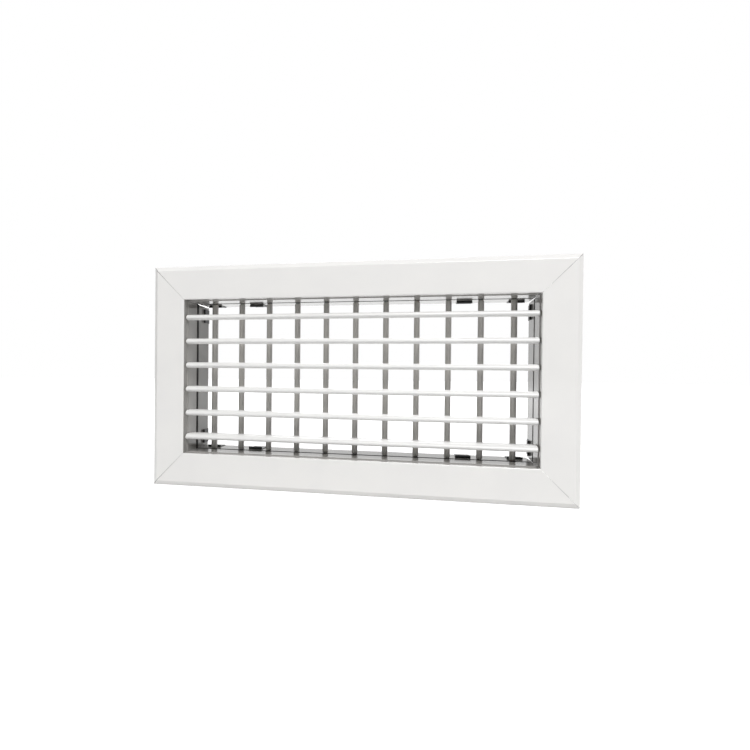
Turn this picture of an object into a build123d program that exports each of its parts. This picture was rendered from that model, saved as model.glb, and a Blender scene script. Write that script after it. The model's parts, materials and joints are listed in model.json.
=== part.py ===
from build123d import *
import os
from math import cos, radians, sin, sqrt

os.makedirs("parts", exist_ok=True)

# Supply air grille with two crossed rows of hand-set blades, in millimetres.
# X runs along the wall, Y runs from the room into the duct, Z is up.
# The origin is the middle of the opening, on the wall plane that the flange rim seats on.

# Opening and flange
opening_w = 306.0
opening_h = 139.4
flange_w = 30.3
flange_depth = 6.0
wall = 1.4
bevel_w = 4.0
bevel_d = 3.0
face_edge_r = 0.9
bevel_edge_r = 0.8

# Neck that enters the duct
neck_len = 44.0
lip_len = 1.5
neck_step = 0.7
groove_ahead = 6.4
groove_w = 4.0
groove_d = 2.6

# Mitred corners: a hairline in the face, and a wedge of light towards the rear of the neck
mitre_hairline = 0.15
mitre_opens_y = {"top_right": 8.0, "bottom_right": 28.0, "bottom_left": 8.0, "top_left": 8.0}
mitre_gap = {"top_right": 1.6, "bottom_right": 1.8, "bottom_left": 0.4, "top_left": 1.4}

# Corner plates and the hooked rails that hold them behind the flange
plate_w = 12.0
plate_t = 2.0
plate_leg = 44.0
plate_play = 0.2
rail_t = 1.2
rail_hook = 2.0

# Front blades, across the opening
front_pitch = 21.8
front_edge = 15.2
front_chord = 19.5
front_thick = 5.0
front_peak = 4.2
front_tail = 1.3
front_pivot_x = 9.7
front_pivot_y = 6.0
front_tilt = 5.0

# Rear blades, upright
rear_pitch = 27.4
rear_edge = 16.0
rear_chord = 9.0
rear_thick = 5.2
rear_peak = 3.0
rear_tail = 1.6
rear_pivot_x = 4.0
rear_pivot_back = 17.0

# Nylon pivots in the blade ends and the bushes that they turn in
pin_d = 2.2
pin_len = 8.0
collar_d = 4.0
collar_t = 0.5
stub_d = 3.0
stub_past = 0.4
turn_play = 0.05
end_play = 0.1
press_play = 0.02
bush_d = 4.6
bush_flange_d = 5.6
bush_flange_t = 0.8

# Sheet clips folded over the rear edge of the neck
clip_w = 13.2
clip_t = 0.5
clip_play = 0.05
clip_inset_lying = 12.1
clip_inset_upright = 9.8
clip_reach = 10.8
clip_lug = 1.5
clip_bend_r = 0.6
clip_hook = 1.2
clip_hook_back = 11.0
spring_reach = 16.0
spring_lug = 2.1
spring_bow = 7.5
spring_bow_start = 7.2
spring_bow_back = 24.0
spring_tip_back = 29.0
spring_tip = 6.0

# Places that follow from the sizes above
face_back = -flange_depth + wall
neck_in = -neck_step
neck_out = neck_in + wall
inner_w = opening_w - 2 * neck_step
inner_h = opening_h - 2 * neck_step
plate_u = flange_w / 2
rear_pivot_y = neck_len - rear_pivot_back
groove_y = rear_pivot_y - groove_ahead
blade_gap = collar_t + end_play
stub_len = wall + bush_flange_t + stub_past + end_play


def spread(opening, edge, pitch):
    """Even places across an opening, as near to the wanted pitch as they come."""
    span = opening - 2 * edge
    count = max(2, round(span / pitch) + 1)
    return [span * (i / (count - 1) - 0.5) for i in range(count)]


front_z = spread(opening_h, front_edge, front_pitch)
rear_x = spread(opening_w, rear_edge, rear_pitch)
spring_x = (rear_x[-2] + rear_x[-3]) / 2


def block(x0, x1, y0, y1):
    """Rectangle between two corners."""
    return Pos((x0 + x1) / 2, (y0 + y1) / 2) * Rectangle(x1 - x0, y1 - y0)


def corner(sketch, x, y):
    """Vertex of a sketch that lies nearest to a point."""
    return sketch.vertices().sort_by_distance(Vector(x, y, 0))[0]


def bar_section():
    """Frame section: x is the distance out from the opening, y the depth behind the wall plane."""
    front = -flange_depth
    ramp = [(0, front), (flange_w - bevel_w, front), (flange_w, front + bevel_d)]
    skin = Polygon(*ramp, (flange_w, 0), (0, 0), align=None)
    skin = fillet(corner(skin, 0, front), face_edge_r)
    skin = fillet(corner(skin, flange_w - bevel_w, front), bevel_edge_r)
    skin = fillet(corner(skin, flange_w, front + bevel_d), bevel_edge_r)
    deep = Polygon(*ramp, (flange_w, wall), (0, wall), align=None)
    skin -= offset(deep, amount=-wall, kind=Kind.INTERSECTION)

    lip = block(0, wall, front + wall, lip_len + wall)
    neck = block(neck_in, neck_out, lip_len, neck_len)
    groove = (groove_y - groove_w / 2, groove_y + groove_w / 2)
    channel = block(neck_in, neck_in + groove_d + wall, groove[0] - wall, groove[1] + wall)
    slot = block(neck_in, neck_in + groove_d, *groove)

    hook_y = face_back + plate_t + plate_play
    rails = Sketch()
    for side in (-1, 1):
        inner = plate_u + side * (plate_w / 2 + plate_play)
        outer = inner + side * rail_t
        tip = inner - side * rail_hook
        rails += block(min(inner, outer), max(inner, outer), face_back, hook_y + rail_t)
        rails += block(min(tip, outer), max(tip, outer), hook_y, hook_y + rail_t)
    return skin + lip + neck + channel + rails - slot


def mitre_wedge(span, reach, corner_name):
    """Wedge that opens a corner's mitre towards the rear of the neck, at the bar's +X end."""
    along = Vector(1, 0, 1)
    plane = Plane(origin=(span / 2, 0, reach), x_dir=(1, 0, -1), z_dir=along)
    tip_y = mitre_opens_y[corner_name]
    depth = neck_len - tip_y
    past = 1 + wall / depth
    half = mitre_gap[corner_name] / 2 * past
    end_y = tip_y + depth * past
    flat = Polygon((0, tip_y), (half, end_y), (-half, end_y), align=None)
    return extrude(plane * flat, amount=sqrt(2) * (groove_d + 2 * wall), both=True)


def frame_bar(span, reach, bore_places, bore_y, corner_plus, corner_minus):
    """Bar above the opening, mitred at both ends, with a row of bush holes in its neck."""
    plane = Plane(origin=(0, 0, reach), x_dir=(0, 0, 1), z_dir=(-1, 0, 0))
    bar = extrude(plane * bar_section(), amount=span / 2 + flange_w, both=True)
    hairline = mitre_hairline / sqrt(2)
    low = span / 2 - wall - hairline
    high = span / 2 + flange_w - hairline
    trapezoid = Polygon(
        (-low, reach - wall), (low, reach - wall),
        (high, reach + flange_w), (-high, reach + flange_w), align=None)
    bar &= extrude(Plane.XZ * trapezoid, amount=2 * neck_len, both=True)
    bar -= mitre_wedge(span, reach, corner_plus)
    bar -= mirror(mitre_wedge(span, reach, corner_minus), about=Plane.YZ)
    for x in bore_places:
        bar -= Pos(x, bore_y, reach) * Cylinder(bush_d / 2, 4 * wall)
    return bar


def corner_plate():
    """L-shaped plate of the top right corner, held in the rails of two bars."""
    x = opening_w / 2 + plate_u + plate_w / 2
    z = opening_h / 2 + plate_u + plate_w / 2
    shape = block(x - plate_leg, x, z - plate_w, z) + block(x - plate_w, x, z - plate_leg, z)
    shape = fillet(corner(shape, x, z), plate_t)
    return extrude(Plane.XZ.offset(-face_back) * shape, amount=-plate_t)


def aerofoil(chord, thick, peak, tail, pivot_x):
    """Blade section with its pivot hole at the origin and its tail towards +X."""
    half = thick / 2
    tip = tail / 2
    bend_x = peak + 0.45 * (chord - tip - peak)
    nose = EllipticalCenterArc((peak, 0), peak, half, start_angle=90, arc_size=180)
    top = Bezier((peak, half), (bend_x, half), (chord - tip, tip))
    low = Bezier((peak, -half), (bend_x, -half), (chord - tip, -tip))
    end = ThreePointArc((chord - tip, tip), (chord, 0), (chord - tip, -tip))
    shape = make_face(nose + top + low + end)
    return Pos(-pivot_x, 0) * shape - Circle(pin_d / 2)


def front_blade(z):
    """Blade across the opening, set a few degrees nose down."""
    length = inner_w - 2 * blade_gap
    chord_dir = (0, cos(radians(front_tilt)), sin(radians(front_tilt)))
    plane = Plane(origin=(-length / 2, front_pivot_y, z), x_dir=chord_dir, z_dir=(1, 0, 0))
    section = aerofoil(front_chord, front_thick, front_peak, front_tail, front_pivot_x)
    return extrude(plane * section, amount=length)


def rear_blade(x):
    """Upright blade behind the front row."""
    length = inner_h - 2 * blade_gap
    plane = Plane(origin=(x, rear_pivot_y, -length / 2), x_dir=(0, 1, 0), z_dir=(0, 0, 1))
    section = aerofoil(rear_chord, rear_thick, rear_peak, rear_tail, rear_pivot_x)
    return extrude(plane * section, amount=length)


def pivot():
    """Nylon pivot with its collar on the blade's end at z = 0 and its stub towards +Z."""
    pin = Pos(0, 0, -pin_len / 2) * Cylinder(pin_d / 2 - press_play, pin_len)
    collar = Pos(0, 0, collar_t / 2) * Cylinder(collar_d / 2, collar_t)
    stub = Pos(0, 0, collar_t + stub_len / 2) * Cylinder(stub_d / 2, stub_len)
    return pin + collar + stub


def bush():
    """Flanged nylon bush, its inner end flush with the neck's inside at z = 0."""
    barrel = Pos(0, 0, wall / 2) * Cylinder(bush_d / 2 - press_play, wall)
    flange = Pos(0, 0, wall + bush_flange_t / 2) * Cylinder(bush_flange_d / 2, bush_flange_t)
    return barrel + flange - Cylinder(stub_d / 2 + turn_play, 4 * wall)


def clip_strip(line):
    """Strip of clip sheet along a line drawn in the frame section's plane, centred on x = 0."""
    flat = trace(line, line_width=clip_t)
    plane = Plane(origin=(0, 0, 0), x_dir=(0, 0, 1), z_dir=(-1, 0, 0))
    return extrude(plane * flat, amount=clip_w / 2, both=True)


def clip_lines(reach, lug):
    """Middle lines of a clip's two leaves, and the points from its lug to its rear fold."""
    leaf_in = neck_in - clip_play - clip_t / 2
    leaf_out = neck_out + clip_play + clip_t / 2
    rear = neck_len + clip_bend_r
    front = neck_len - reach
    return leaf_out, [(leaf_in - lug, front), (leaf_in, front), (leaf_in, rear), (leaf_out, rear)]


def edge_clip():
    """Short clip, with a turned-in lug on its inner leaf and a turned-out lead on its outer leaf."""
    leaf_out, fold = clip_lines(clip_reach, clip_lug)
    line = FilletPolyline(
        *fold, (leaf_out, neck_len - clip_hook_back),
        (leaf_out + clip_hook, neck_len - clip_hook_back - 2 * clip_hook), radius=clip_bend_r)
    return clip_strip(line)


def mounting_spring():
    """Long clip, with a taller lug and an outer leaf that bows out to press on the hole in the duct."""
    leaf_out, fold = clip_lines(spring_reach, spring_lug)
    line = FilletPolyline(
        *fold, (leaf_out, neck_len - spring_bow_start), (spring_bow, neck_len - spring_bow_back),
        (spring_tip, neck_len - spring_tip_back), radius=clip_bend_r)
    return clip_strip(line)


def side(index, shape):
    """Turn what is drawn above the opening to the top, right, bottom or left."""
    return Rot(0, 90 * index, 0) * shape


sides = ["top", "right", "bottom", "left"]
corners = ["top_right", "bottom_right", "bottom_left", "top_left"]
nodes = {}

# Frame bars, each with the bushes pressed into its neck
for i, name in enumerate(sides):
    lies = i % 2 == 0
    span = opening_w if lies else opening_h
    reach = (opening_h if lies else opening_w) / 2
    turned = 1 if name in ("top", "left") else -1
    places = [turned * place for place in (rear_x if lies else front_z)]
    depth = rear_pivot_y if lies else front_pivot_y
    bar = frame_bar(span, reach, places, depth, corners[i], corners[i - 1])
    nodes["frame_" + name] = side(i, bar)
    row = [Pos(x, depth, reach + neck_in) * bush() for x in places]
    nodes[("rear" if lies else "front") + "_bushes_" + name] = side(i, Compound(children=row))

# Clips along the rear edge of the neck
for i, name in enumerate(sides):
    lies = i % 2 == 0
    half = inner_w / 2 - clip_inset_lying if lies else inner_h / 2 - clip_inset_upright
    reach = (opening_h if lies else opening_w) / 2
    row = [Pos(x, 0, reach) * edge_clip() for x in (-half, half)]
    nodes["edge_clips_" + name] = side(i, Compound(children=row))
for i, name in ((0, "top"), (2, "bottom")):
    row = [Pos(x, 0, opening_h / 2) * mounting_spring() for x in (-spring_x, spring_x)]
    nodes["mounting_springs_" + name] = side(i, Compound(children=row))

# Corner plates
plate = corner_plate()
nodes["corner_plate_top_right"] = plate
nodes["corner_plate_top_left"] = mirror(plate, about=Plane.YZ)
nodes["corner_plate_bottom_right"] = mirror(plate, about=Plane.XY)
nodes["corner_plate_bottom_left"] = Rot(0, 180, 0) * plate

# Front blades, numbered from the top, each with a pivot at both ends
end_x = inner_w / 2 - blade_gap
for i, z in enumerate(reversed(front_z)):
    nodes[f"front_blade_{i + 1}"] = front_blade(z)
    pair = [Pos(s * end_x, front_pivot_y, z) * Rot(0, 90 * s, 0) * pivot() for s in (-1, 1)]
    nodes[f"front_pivots_{i + 1}"] = Compound(children=pair)

# Rear blades, numbered from the left, each with a pivot at both ends
end_z = inner_h / 2 - blade_gap
for i, x in enumerate(rear_x):
    nodes[f"rear_blade_{i + 1}"] = rear_blade(x)
    pair = [Pos(x, rear_pivot_y, s * end_z) * Rot(0, 90 - 90 * s, 0) * pivot() for s in (-1, 1)]
    nodes[f"rear_pivots_{i + 1}"] = Compound(children=pair)

for name, shape in nodes.items():
    export_step(shape, f"parts/{name}.step")
    print(name, round(shape.volume, 1))
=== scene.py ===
# %% [markdown]
# # A supply air grille in Blender
# This lesson dresses a wall grille: a white mitred frame, a row of white blades across the
# opening, a row of upright blades behind them whose grey is painted shade, nylon bushes
# and black spring clips.
# The rigid pieces come ready made from the CAD frame, in metres, in their real places.
# The lesson gives each one its finish, remakes the small bushes, and sets up the studio.

# %% Load the frame
import json
import math

import bpy
from mathutils import Matrix, Vector


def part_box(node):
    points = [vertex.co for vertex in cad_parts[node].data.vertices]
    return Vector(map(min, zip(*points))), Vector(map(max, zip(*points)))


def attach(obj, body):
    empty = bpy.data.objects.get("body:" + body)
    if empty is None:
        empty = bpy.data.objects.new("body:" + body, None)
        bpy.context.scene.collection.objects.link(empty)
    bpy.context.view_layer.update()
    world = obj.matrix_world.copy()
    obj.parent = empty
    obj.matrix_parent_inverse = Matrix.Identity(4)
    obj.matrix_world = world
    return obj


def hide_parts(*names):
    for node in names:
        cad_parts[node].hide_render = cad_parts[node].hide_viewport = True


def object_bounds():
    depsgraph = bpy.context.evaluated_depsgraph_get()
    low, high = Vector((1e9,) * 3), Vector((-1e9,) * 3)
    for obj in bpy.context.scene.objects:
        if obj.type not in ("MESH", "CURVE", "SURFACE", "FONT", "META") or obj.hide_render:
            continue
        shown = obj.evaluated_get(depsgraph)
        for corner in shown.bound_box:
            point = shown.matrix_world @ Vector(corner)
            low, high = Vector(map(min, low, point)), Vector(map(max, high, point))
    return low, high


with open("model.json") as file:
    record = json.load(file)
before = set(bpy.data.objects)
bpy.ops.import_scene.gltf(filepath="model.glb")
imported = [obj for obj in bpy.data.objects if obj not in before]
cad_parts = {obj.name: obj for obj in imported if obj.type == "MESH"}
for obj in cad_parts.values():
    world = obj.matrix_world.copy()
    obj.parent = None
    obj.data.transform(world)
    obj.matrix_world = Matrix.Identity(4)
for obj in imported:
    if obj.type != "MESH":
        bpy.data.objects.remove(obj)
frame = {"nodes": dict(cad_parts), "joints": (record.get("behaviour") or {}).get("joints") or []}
cad_low, cad_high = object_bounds()
nodes = frame["nodes"]
joints = {joint["name"]: joint for joint in frame["joints"]}
MM = 0.001
print("nodes:", len(nodes), "joints:", len(joints))

# %% [markdown]
# ## Sizes read from the frame
# Nothing is typed twice: the places of the blades are the places of their hinges, and the
# opening is what the bars leave between them. A colour that changes at a depth, such as the
# painted shade on the neck's inner walls and in its groove, takes that depth from here too.

# %% Read the sizes
front_hinges = [j for name, j in joints.items() if name.startswith("front")]
rear_hinges = [j for name, j in joints.items() if name.startswith("rear")]
front_y = front_hinges[0]["pos_m"][1]
rear_y = rear_hinges[0]["pos_m"][1]
front_z = sorted(j["pos_m"][2] for j in front_hinges)
rear_x = sorted(j["pos_m"][0] for j in rear_hinges)
neck_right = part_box("frame_right")[0][0]
neck_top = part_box("frame_top")[0][2]
neck_end = nodes["frame_top"].bound_box[6][1]
neck_step = 0.7 * MM
edge_y = cad_low[1] + 0.9 * MM
groove_start, groove_end = 18.6 * MM, 22.6 * MM
groove_deep = 2.6 * MM
print("front row", len(front_z), "rear row", len(rear_x))
print("neck half width and height, mm:", round(neck_right / MM, 1), round(neck_top / MM, 1))

# %% [markdown]
# ## A small set of node helpers
# A material is a graph. Writing each link by hand hides what the finish does, so three short
# helpers add a node, join two sockets, and start a Principled material. Every pattern reads
# Object coordinates: the pieces sit at the origin, so these are metres on the real part.

# %% Helpers for materials
def add(tree, kind, **values):
    """New node of a kind, with socket values given by name or number."""
    node = tree.nodes.new(kind)
    for key, value in values.items():
        name = key.replace("_", " ")
        if name in node.inputs:
            node.inputs[name].default_value = value
        else:
            setattr(node, key, value)
    return node


def start_material(name, roughness, ior=1.5, metallic=0.0):
    """Empty material with a Principled shader and Object coordinates."""
    material = bpy.data.materials.new(name)
    material.use_nodes = True
    tree = material.node_tree
    shader = tree.nodes["Principled BSDF"]
    shader.inputs["Roughness"].default_value = roughness
    shader.inputs["IOR"].default_value = ior
    shader.inputs["Metallic"].default_value = metallic
    coords = add(tree, "ShaderNodeTexCoord").outputs["Object"]
    return material, tree, shader, coords


def noise(tree, coords, scale, detail=2.0, stretch=(1, 1, 1)):
    """Noise over the surface, drawn out along an axis where stretch is small."""
    mapping = add(tree, "ShaderNodeMapping")
    mapping.inputs["Scale"].default_value = stretch
    tree.links.new(coords, mapping.inputs["Vector"])
    texture = add(tree, "ShaderNodeTexNoise", Scale=scale, Detail=detail)
    tree.links.new(mapping.outputs["Vector"], texture.inputs["Vector"])
    return texture.outputs["Fac"]


def ramp(tree, value, low, high, from_min=0.0, from_max=1.0):
    """Map a value onto another range, clamped."""
    node = add(tree, "ShaderNodeMapRange")
    node.inputs["From Min"].default_value = from_min
    node.inputs["From Max"].default_value = from_max
    node.inputs["To Min"].default_value = low
    node.inputs["To Max"].default_value = high
    tree.links.new(value, node.inputs["Value"])
    return node.outputs["Result"]


def tint(tree, factor, colour_a, colour_b):
    """Blend of two colours by a factor. A colour may be a tuple or a socket."""
    node = add(tree, "ShaderNodeMix", data_type="RGBA")
    tree.links.new(factor, node.inputs["Factor"])
    for socket, colour in ((node.inputs[6], colour_a), (node.inputs[7], colour_b)):
        if isinstance(colour, tuple):
            socket.default_value = (*colour, 1.0)
        else:
            tree.links.new(colour, socket)
    return node.outputs[2]


def bump(tree, shader, height, strength, distance):
    """Bump on a shader, or on top of the bump that it has."""
    node = add(tree, "ShaderNodeBump", Strength=strength, Distance=distance)
    tree.links.new(height, node.inputs["Height"])
    normal = shader.inputs["Normal"]
    if normal.is_linked:
        tree.links.new(normal.links[0].from_socket, node.inputs["Normal"])
    tree.links.new(node.outputs["Normal"], normal)


def dress(names, material):
    """Give CAD nodes one material."""
    for name in names:
        mesh = nodes[name].data
        mesh.materials.clear()
        mesh.materials.append(material)
    print(material.name, "on", len(names), "nodes")


# %% [markdown]
# ## White powder coat
# The frame is extruded aluminium under gloss powder. Powder flows into a very fine orange
# peel, so the sheen breaks up a little in a highlight. The neck's inner walls and lips are
# painted a darker grey, and its groove darker still: this is painted shade of the neck's inside.
# One mask finds both: it is 1 inside a box, so the outside of the neck stays white.
# Powder also pulls back from a sharp cut, so each mitre shows as a fine grey line, and the
# saw's cut opens a little towards the outer corner, where the line is stronger.

# %% Powder coat
def within(tree, coords, half_x, half_z, start, end):
    """1 inside a box round the neck's axis, from one depth to another, and 0 outside."""
    split = add(tree, "ShaderNodeSeparateXYZ")
    tree.links.new(coords, split.inputs["Vector"])
    tests = []
    for axis, half in (("X", half_x), ("Z", half_z)):
        size = add(tree, "ShaderNodeMath", operation="ABSOLUTE")
        tree.links.new(split.outputs[axis], size.inputs[0])
        tests.append((size.outputs[0], "LESS_THAN", half))
    tests.append((split.outputs["Y"], "GREATER_THAN", start))
    tests.append((split.outputs["Y"], "LESS_THAN", end))
    result = None
    for value, operation, limit in tests:
        test = add(tree, "ShaderNodeMath", operation=operation)
        tree.links.new(value, test.inputs[0])
        test.inputs[1].default_value = limit
        if result is None:
            result = test.outputs[0]
            continue
        both = add(tree, "ShaderNodeMath", operation="MULTIPLY")
        tree.links.new(result, both.inputs[0])
        tree.links.new(test.outputs[0], both.inputs[1])
        result = both.outputs[0]
    return result


def subtract(tree, value, other):
    """One mask less another, never under 0."""
    node = add(tree, "ShaderNodeMath", operation="SUBTRACT", use_clamp=True)
    tree.links.new(value, node.inputs[0])
    tree.links.new(other, node.inputs[1])
    return node.outputs[0]


def mitre_line(tree, coords):
    """1 along the mitres of the face, faint by the opening and full at the outer corner."""
    split = add(tree, "ShaderNodeSeparateXYZ")
    tree.links.new(coords, split.inputs["Vector"])
    out = []
    for axis, edge in (("X", neck_right), ("Z", neck_top)):
        size = add(tree, "ShaderNodeMath", operation="ABSOLUTE")
        tree.links.new(split.outputs[axis], size.inputs[0])
        past = add(tree, "ShaderNodeMath", operation="SUBTRACT")
        tree.links.new(size.outputs[0], past.inputs[0])
        past.inputs[1].default_value = edge
        out.append(past.outputs[0])
    apart = add(tree, "ShaderNodeMath", operation="SUBTRACT")
    tree.links.new(out[0], apart.inputs[0])
    tree.links.new(out[1], apart.inputs[1])
    gap = add(tree, "ShaderNodeMath", operation="ABSOLUTE")
    tree.links.new(apart.outputs[0], gap.inputs[0])
    near = add(tree, "ShaderNodeMath", operation="LESS_THAN")
    tree.links.new(gap.outputs[0], near.inputs[0])
    near.inputs[1].default_value = 0.27 * MM
    front = add(tree, "ShaderNodeMath", operation="LESS_THAN")
    tree.links.new(split.outputs["Y"], front.inputs[0])
    front.inputs[1].default_value = 0.0
    face = add(tree, "ShaderNodeMath", operation="MULTIPLY")
    tree.links.new(near.outputs[0], face.inputs[0])
    tree.links.new(front.outputs[0], face.inputs[1])
    strength = add(tree, "ShaderNodeMath", operation="MULTIPLY")
    tree.links.new(face.outputs[0], strength.inputs[0])
    tree.links.new(ramp(tree, out[0], 0.15, 1.0, 8 * MM, 30 * MM), strength.inputs[1])
    return strength.outputs[0]


def powder_coat(name, white, shade, inside, groove_painted_shade, seam):
    """Gloss powder coat: white, with painted shade on the neck's inner walls and darker painted shade in its
    groove.
    """
    material, tree, shader, coords = start_material(name, roughness=0.2)
    cloud = noise(tree, coords, scale=26.0, detail=3.0)
    colour = tint(tree, ramp(tree, cloud, 0.0, 1.0, 0.35, 0.65), white, shade)
    skin = 0.1 * MM
    # Mask of the groove, which takes the darkest grey: painted shade.
    groove = within(tree, coords, neck_right + groove_deep + skin, neck_top + groove_deep + skin,
                    groove_start - skin, groove_end + skin)
    before = within(tree, coords, neck_right + skin, neck_top + skin,
                    groove_start - skin, groove_end + skin)
    groove = subtract(tree, groove, before)
    colour = tint(tree, groove, colour, groove_painted_shade)
    # Mask of the neck's inner walls and lips, which take the inside grey: painted shade.
    walls = within(tree, coords, neck_right + neck_step + skin, neck_top + neck_step + skin,
                   edge_y, neck_end - skin)
    walls = subtract(tree, walls, groove)
    colour = tint(tree, walls, colour, inside)
    colour = tint(tree, mitre_line(tree, coords), colour, seam)
    tree.links.new(colour, shader.inputs["Base Color"])
    speck = noise(tree, coords, scale=900.0, detail=1.0)
    tree.links.new(ramp(tree, speck, 0.10, 0.18), shader.inputs["Roughness"])
    bump(tree, shader, noise(tree, coords, scale=650.0), strength=0.05, distance=0.05 * MM)
    return material


# In the coat below, inside and the groove colour are painted shade: greys standing in for the shade in the neck.
frame_coat_and_painted_shade = powder_coat(
    "white_coat_and_painted_shade", white=(0.83, 0.82, 0.80), shade=(0.81, 0.80, 0.785),
    inside=(0.37, 0.36, 0.345), groove_painted_shade=(0.15, 0.148, 0.145), seam=(0.14, 0.135, 0.13))
dress([n for n in nodes if n.startswith("frame_")], frame_coat_and_painted_shade)

# %% [markdown]
# ## Blades
# A blade is a long extrusion, and the die leaves faint lines along it that the coat doesn't
# quite hide. Noise drawn out along the blade gives them: the stretch is small on the long
# axis. The front row is white. The rear row in the duct is a warm grey, darker than the front
# row: painted shade for the duct behind the front blades.

# %% Blade paint
def blade_paint(name, light, dark, along, roughness):
    """Coated extrusion with faint die lines along it."""
    material, tree, shader, coords = start_material(name, roughness=roughness)
    stretch = tuple(0.02 if axis == along else 1.0 for axis in "XYZ")
    lines = noise(tree, coords, scale=700.0, detail=2.0, stretch=stretch)
    cloud = noise(tree, coords, scale=30.0, detail=3.0)
    base = tint(tree, ramp(tree, cloud, 0.0, 1.0, 0.35, 0.65), light, dark)
    tree.links.new(base, shader.inputs["Base Color"])
    spread = ramp(tree, lines, roughness - 0.05, roughness + 0.06)
    tree.links.new(spread, shader.inputs["Roughness"])
    bump(tree, shader, lines, strength=0.10, distance=0.06 * MM)
    bump(tree, shader, noise(tree, coords, scale=650.0), strength=0.08, distance=0.08 * MM)
    return material


front_paint = blade_paint(
    "front_blade_coat", (0.79, 0.785, 0.77), (0.77, 0.765, 0.755), "X", roughness=0.32)
# The rear row's darker warm grey is painted shade, standing in for the shade in the duct.
rear_coat_painted_shade = blade_paint(
    "rear_blade_coat_painted_shade", (0.60, 0.58, 0.545), (0.55, 0.535, 0.51), "Z", roughness=0.30)
dress([n for n in nodes if n.startswith("front_blade_")], front_paint)
dress([n for n in nodes if n.startswith("rear_blade_")], rear_coat_painted_shade)

# %% [markdown]
# ## Nylon, black spring steel and galvanised plate
# Natural nylon is milky: a little light goes into it. The clips are spring steel with a thin
# black finish, smooth enough to shine at a glancing angle. The corner plates hide behind the
# flange and are zinc coated, with the crystal spangle that a Voronoi pattern gives.

# %% Small finishes
def nylon_finish():
    """Milky nylon with a faint mould texture."""
    material, tree, shader, coords = start_material("natural_nylon", roughness=0.45)
    cloud = noise(tree, coords, scale=300.0, detail=2.0)
    colour = tint(tree, ramp(tree, cloud, 0.0, 1.0), (0.74, 0.73, 0.67), (0.66, 0.65, 0.59))
    tree.links.new(colour, shader.inputs["Base Color"])
    shader.inputs["Subsurface Weight"].default_value = 0.15
    shader.inputs["Subsurface Scale"].default_value = 0.5 * MM
    bump(tree, shader, noise(tree, coords, scale=1500.0), strength=0.15, distance=0.05 * MM)
    return material


def black_steel():
    """Spring steel under a thin black finish, rubbed a little here and there."""
    material, tree, shader, coords = start_material("black_spring_steel", roughness=0.38)
    rub = noise(tree, coords, scale=220.0, detail=4.0)
    colour = tint(tree, ramp(tree, rub, 0.0, 1.0, 0.5, 0.8), (0.008, 0.008, 0.009), (0.03, 0.03, 0.03))
    tree.links.new(colour, shader.inputs["Base Color"])
    tree.links.new(ramp(tree, rub, 0.32, 0.46), shader.inputs["Roughness"])
    bump(tree, shader, noise(tree, coords, scale=1200.0), strength=0.1, distance=0.04 * MM)
    return material


def zinc_plate():
    """Galvanised steel with its spangle."""
    material, tree, shader, coords = start_material("galvanised_plate", 0.4, metallic=1.0)
    crystals = add(tree, "ShaderNodeTexVoronoi", Scale=160.0)
    tree.links.new(coords, crystals.inputs["Vector"])
    shade = add(tree, "ShaderNodeSeparateColor")
    tree.links.new(crystals.outputs["Color"], shade.inputs["Color"])
    level = shade.outputs["Red"]
    tree.links.new(tint(tree, level, (0.46, 0.47, 0.49), (0.62, 0.63, 0.65)), shader.inputs["Base Color"])
    tree.links.new(ramp(tree, level, 0.32, 0.5), shader.inputs["Roughness"])
    return material


nylon = nylon_finish()
clip_steel = black_steel()
dress([n for n in nodes if "pivots" in n], nylon)
dress([n for n in nodes if "clips" in n or "springs" in n], clip_steel)
dress([n for n in nodes if n.startswith("corner_plate")], zinc_plate())

# %% [markdown]
# ## Rows of bushes with Geometry Nodes
# Each blade turns in two small flanged bushes pressed into the neck. They are all alike and
# evenly spaced, which is what Geometry Nodes are for. One tree makes a bush by sweeping a
# rounded section round a circle, then sets it along a line of points. The sizes are named
# inputs, so the same tree serves all four sides of the neck.

# %% The bush tree
BUSH_INPUTS = {
    "Count": ("NodeSocketInt", 11),
    "Pitch": ("NodeSocketFloat", 27 * MM),
    "Bore Radius": ("NodeSocketFloat", 1.55 * MM),
    "Barrel Radius": ("NodeSocketFloat", 2.28 * MM),
    "Flange Radius": ("NodeSocketFloat", 2.8 * MM),
    "Barrel Length": ("NodeSocketFloat", 1.4 * MM),
    "Flange Thickness": ("NodeSocketFloat", 0.8 * MM),
    "Edge Round": ("NodeSocketFloat", 0.2 * MM),
}


def group_maths(tree, operation, a, b):
    """Maths node on two sockets or numbers."""
    node = tree.nodes.new("ShaderNodeMath")
    node.operation = operation
    for socket, value in zip(node.inputs, (a, b)):
        if isinstance(value, (int, float)):
            socket.default_value = value
        else:
            tree.links.new(value, socket)
    return node.outputs[0]


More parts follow.
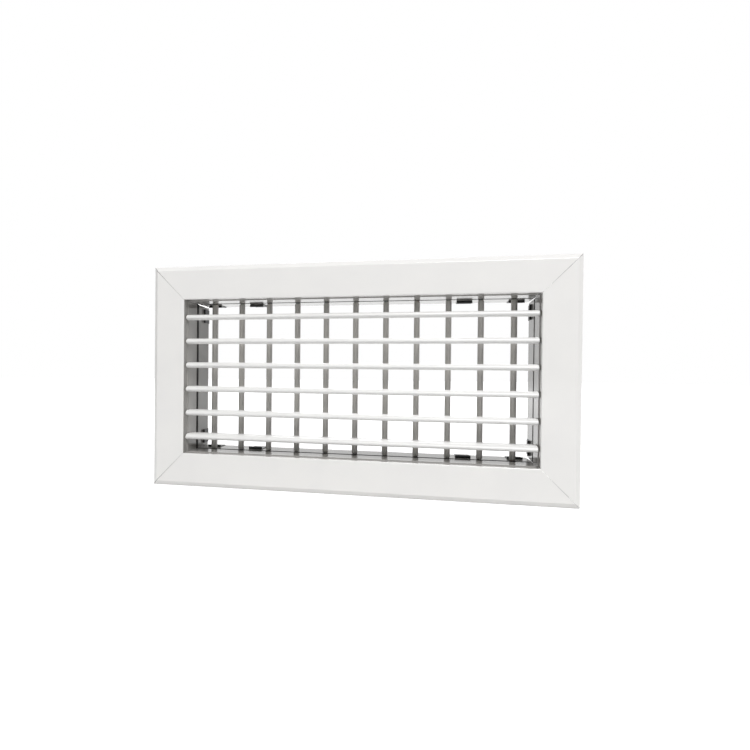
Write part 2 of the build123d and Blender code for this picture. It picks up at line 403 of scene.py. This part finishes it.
def swept_ring(tree, inner, outer, bottom, height, edge_round):
    """Ring of rectangular section between two radii, with rounded edges."""
    middle = group_maths(tree, "MULTIPLY", group_maths(tree, "ADD", inner, outer), 0.5)
    circle = tree.nodes.new("GeometryNodeCurvePrimitiveCircle")
    circle.inputs["Resolution"].default_value = 36
    tree.links.new(middle, circle.inputs["Radius"])
    section = tree.nodes.new("GeometryNodeCurvePrimitiveQuadrilateral")
    tree.links.new(group_maths(tree, "SUBTRACT", outer, inner), section.inputs["Width"])
    tree.links.new(height, section.inputs["Height"])
    rounded = tree.nodes.new("GeometryNodeFilletCurve")
    rounded.mode = "POLY"
    rounded.inputs["Count"].default_value = 3
    tree.links.new(section.outputs["Curve"], rounded.inputs["Curve"])
    tree.links.new(edge_round, rounded.inputs["Radius"])
    sweep = tree.nodes.new("GeometryNodeCurveToMesh")
    tree.links.new(circle.outputs["Curve"], sweep.inputs["Curve"])
    tree.links.new(rounded.outputs["Curve"], sweep.inputs["Profile Curve"])
    lift = tree.nodes.new("ShaderNodeCombineXYZ")
    half = group_maths(tree, "MULTIPLY", height, 0.5)
    tree.links.new(group_maths(tree, "ADD", bottom, half), lift.inputs["Z"])
    place = tree.nodes.new("GeometryNodeTransform")
    tree.links.new(sweep.outputs["Mesh"], place.inputs["Geometry"])
    tree.links.new(lift.outputs["Vector"], place.inputs["Translation"])
    return place.outputs["Geometry"]


def bush_tree(material):
    """Row of flanged bushes along X, each with its inner end at z = 0."""
    tree = bpy.data.node_groups.new("bush_row", "GeometryNodeTree")
    face = tree.interface
    for name, (kind, value) in BUSH_INPUTS.items():
        face.new_socket(name, in_out="INPUT", socket_type=kind).default_value = value
    face.new_socket("Geometry", in_out="OUTPUT", socket_type="NodeSocketGeometry")
    given = tree.nodes.new("NodeGroupInput").outputs
    edge = given["Edge Round"]
    barrel = swept_ring(
        tree, given["Bore Radius"], given["Barrel Radius"], 0.0, given["Barrel Length"], edge)
    flange = swept_ring(
        tree, given["Bore Radius"], given["Flange Radius"], given["Barrel Length"],
        given["Flange Thickness"], edge)
    both = tree.nodes.new("GeometryNodeJoinGeometry")
    tree.links.new(barrel, both.inputs["Geometry"])
    tree.links.new(flange, both.inputs["Geometry"])

    step = tree.nodes.new("ShaderNodeCombineXYZ")
    tree.links.new(given["Pitch"], step.inputs["X"])
    span = group_maths(tree, "MULTIPLY", given["Pitch"], group_maths(tree, "SUBTRACT", given["Count"], 1))
    start = tree.nodes.new("ShaderNodeCombineXYZ")
    tree.links.new(group_maths(tree, "MULTIPLY", span, -0.5), start.inputs["X"])
    line = tree.nodes.new("GeometryNodeMeshLine")
    tree.links.new(given["Count"], line.inputs["Count"])
    tree.links.new(start.outputs["Vector"], line.inputs["Start Location"])
    tree.links.new(step.outputs["Vector"], line.inputs["Offset"])
    copies = tree.nodes.new("GeometryNodeInstanceOnPoints")
    tree.links.new(line.outputs["Mesh"], copies.inputs["Points"])
    tree.links.new(both.outputs["Geometry"], copies.inputs["Instance"])
    real = tree.nodes.new("GeometryNodeRealizeInstances")
    tree.links.new(copies.outputs["Instances"], real.inputs["Geometry"])
    paint = tree.nodes.new("GeometryNodeSetMaterial")
    paint.inputs["Material"].default_value = material
    tree.links.new(real.outputs["Geometry"], paint.inputs["Geometry"])
    out = tree.nodes.new("NodeGroupOutput")
    tree.links.new(paint.outputs["Geometry"], out.inputs["Geometry"])
    return tree


bush_group = bush_tree(nylon)
print("bush tree nodes:", len(bush_group.nodes))

# %% [markdown]
# ## Set a row on each side of the neck
# A modifier takes its inputs by the socket's identifier. The evaluated result becomes a plain
# mesh, the place goes into the mesh, and the modifier is gone before the frame hears of it.

# %% Make the four rows
def bush_row(name, replaced, count, pitch, place):
    """Plain mesh of one row, put in place and riding on the frame."""
    holder = bpy.data.objects.new(name + "_maker", bpy.data.meshes.new(name + "_maker"))
    bpy.context.scene.collection.objects.link(holder)
    modifier = holder.modifiers.new("bushes", "NODES")
    modifier.node_group = bush_group
    wanted = {"Count": count, "Pitch": pitch}
    for item in bush_group.interface.items_tree:
        if item.in_out == "INPUT" and item.name in wanted:
            modifier[item.identifier] = wanted[item.name]
    evaluated = holder.evaluated_get(bpy.context.evaluated_depsgraph_get())
    mesh = bpy.data.meshes.new_from_object(evaluated)
    bpy.data.objects.remove(holder)
    mesh.transform(place)
    row = bpy.data.objects.new(name, mesh)
    bpy.context.scene.collection.objects.link(row)
    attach(row, "frame")
    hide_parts(replaced)
    print(name, "faces", len(mesh.polygons))
    return row


def row_place(angle, reach, depth, shift):
    """Place of a row drawn along X with its bushes pointing up, turned about Y to a side."""
    turn = Matrix.Rotation(math.radians(angle), 4, "Y")
    return Matrix.Translation(Vector((0, 0, shift))) @ turn @ Matrix.Translation(Vector((0, depth, reach)))


front_pitch = (front_z[-1] - front_z[0]) / (len(front_z) - 1)
rear_pitch = (rear_x[-1] - rear_x[0]) / (len(rear_x) - 1)
front_middle = (front_z[-1] + front_z[0]) / 2
wall_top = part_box("rear_bushes_top")[0][2]
wall_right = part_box("front_bushes_right")[0][0]
bush_row("rear_bush_row_top", "rear_bushes_top", len(rear_x), rear_pitch, row_place(0, wall_top, rear_y, 0))
bush_row("rear_bush_row_bottom", "rear_bushes_bottom", len(rear_x), rear_pitch, row_place(180, wall_top, rear_y, 0))
bush_row("front_bush_row_right", "front_bushes_right", len(front_z), front_pitch,
         row_place(90, wall_right, front_y, front_middle))
bush_row("front_bush_row_left", "front_bushes_left", len(front_z), front_pitch,
         row_place(-90, wall_right, front_y, front_middle))

# %% [markdown]
# ## Studio
# The grille stands on a white floor before a white sweep. The camera and mirror-like glances
# see a pure white background, while the lamps alone set how bright the part is. A wide soft
# box high in front does most of the work, a weaker one fills from the front, and one behind
# keeps the back of the part readable. The pale floor bounces some light up to the lips.

# %% World, floor and lamps
def background(scene):
    """White to the camera and to glossy and clear rays, and dim to everything else."""
    world = bpy.data.worlds.new("white_sweep")
    scene.world = world
    world.use_nodes = True
    tree = world.node_tree
    tree.nodes.clear()
    path = tree.nodes.new("ShaderNodeLightPath")
    seen = tree.nodes.new("ShaderNodeMath")
    seen.operation = "MAXIMUM"
    tree.links.new(path.outputs["Is Camera Ray"], seen.inputs[0])
    glancing = tree.nodes.new("ShaderNodeMath")
    glancing.operation = "MAXIMUM"
    tree.links.new(path.outputs["Is Glossy Ray"], glancing.inputs[0])
    tree.links.new(path.outputs["Is Transmission Ray"], glancing.inputs[1])
    tree.links.new(glancing.outputs[0], seen.inputs[1])
    dim = tree.nodes.new("ShaderNodeBackground")
    dim.inputs["Color"].default_value = (0.95, 0.97, 1.0, 1.0)
    dim.inputs["Strength"].default_value = 0.10
    white = tree.nodes.new("ShaderNodeBackground")
    white.inputs["Color"].default_value = (1.0, 1.0, 1.0, 1.0)
    white.inputs["Strength"].default_value = 1.0
    mix = tree.nodes.new("ShaderNodeMixShader")
    tree.links.new(seen.outputs[0], mix.inputs["Fac"])
    tree.links.new(dim.outputs[0], mix.inputs[1])
    tree.links.new(white.outputs[0], mix.inputs[2])
    out = tree.nodes.new("ShaderNodeOutputWorld")
    tree.links.new(mix.outputs[0], out.inputs["Surface"])


def floor(height, size):
    """Round white floor that keeps the part's shadow."""
    mesh = bpy.data.meshes.new("floor")
    corners = [
        (size * math.cos(a), size * math.sin(a), height)
        for a in (math.tau * i / 96 for i in range(96))]
    mesh.from_pydata(corners, [], [list(range(96))])
    plate = bpy.data.objects.new("floor", mesh)
    bpy.context.scene.collection.objects.link(plate)
    material, tree, shader, coords = start_material("floor_white", roughness=0.9)
    cloud = noise(tree, coords, scale=3.0)
    tree.links.new(tint(tree, cloud, (0.73, 0.73, 0.73), (0.77, 0.77, 0.77)), shader.inputs["Base Color"])
    path = add(tree, "ShaderNodeLightPath")
    seen = add(tree, "ShaderNodeMath", operation="MAXIMUM")
    tree.links.new(path.outputs["Is Camera Ray"], seen.inputs[0])
    tree.links.new(path.outputs["Is Glossy Ray"], seen.inputs[1])
    distance = add(tree, "ShaderNodeVectorMath", operation="LENGTH")
    tree.links.new(coords, distance.inputs[0])
    glow = add(tree, "ShaderNodeMath", operation="MULTIPLY")
    tree.links.new(seen.outputs[0], glow.inputs[0])
    tree.links.new(ramp(tree, distance.outputs["Value"], 0.72, 1.0, 0.4, 1.6), glow.inputs[1])
    shader.inputs["Emission Color"].default_value = (1, 1, 1, 1)
    tree.links.new(glow.outputs[0], shader.inputs["Emission Strength"])
    mesh.materials.append(material)
    return plate


def soft_box(name, place, aim, size, power):
    """Square area lamp that points at a spot."""
    lamp = bpy.data.lights.new(name, "AREA")
    lamp.size = size
    lamp.energy = power
    holder = bpy.data.objects.new(name, lamp)
    bpy.context.scene.collection.objects.link(holder)
    holder.location = place
    holder.rotation_euler = (Vector(aim) - Vector(place)).to_track_quat("-Z", "Y").to_euler()
    return holder


scene = bpy.context.scene
background(scene)
floor(height=cad_low[2] - 0.2 * MM, size=6.0)
soft_box("top_box", (0.45, -1.35, 2.15), (0, 0, 0), 1.2, 46.0)
soft_box("front_box", (0.80, -2.40, 1.75), (0, 0, 0), 1.0, 27.0)
soft_box("back_box", (-0.3, 2.40, 1.60), (0, 0, 0), 1.2, 22.0)

# %% [markdown]
# ## Camera
# The camera stands a little to the right of the middle and looks slightly left, so the neck's
# left wall shows more than the right. A small shift frames the part as in the photograph.

# %% Camera
FRAME_PX = 750
SENSOR = 36.0
focal_px = 488.77
centre_px = (332.61, 375.91)
camera_place = Vector((65.21, -415.63, 5.59)) * MM
camera_yaw = 0.1930
camera_pitch = 0.0085
camera_roll = 0.0100

camera_data = bpy.data.cameras.new("camera")
camera_data.sensor_width = SENSOR
camera_data.lens = focal_px / FRAME_PX * SENSOR
camera_data.shift_x = (FRAME_PX / 2 - centre_px[0]) / FRAME_PX
camera_data.shift_y = (centre_px[1] - FRAME_PX / 2) / FRAME_PX
camera_data.clip_start = 1 * MM
camera = bpy.data.objects.new("camera", camera_data)
scene.collection.objects.link(camera)
turn = (
    Matrix.Rotation(camera_yaw, 4, "Z")
    @ Matrix.Rotation(math.pi / 2 - camera_pitch, 4, "X")
    @ Matrix.Rotation(camera_roll, 4, "Z"))
camera.matrix_world = Matrix.Translation(camera_place) @ turn
scene.camera = camera
scene.view_settings.view_transform = "Standard"
print("lens", round(camera_data.lens, 2))
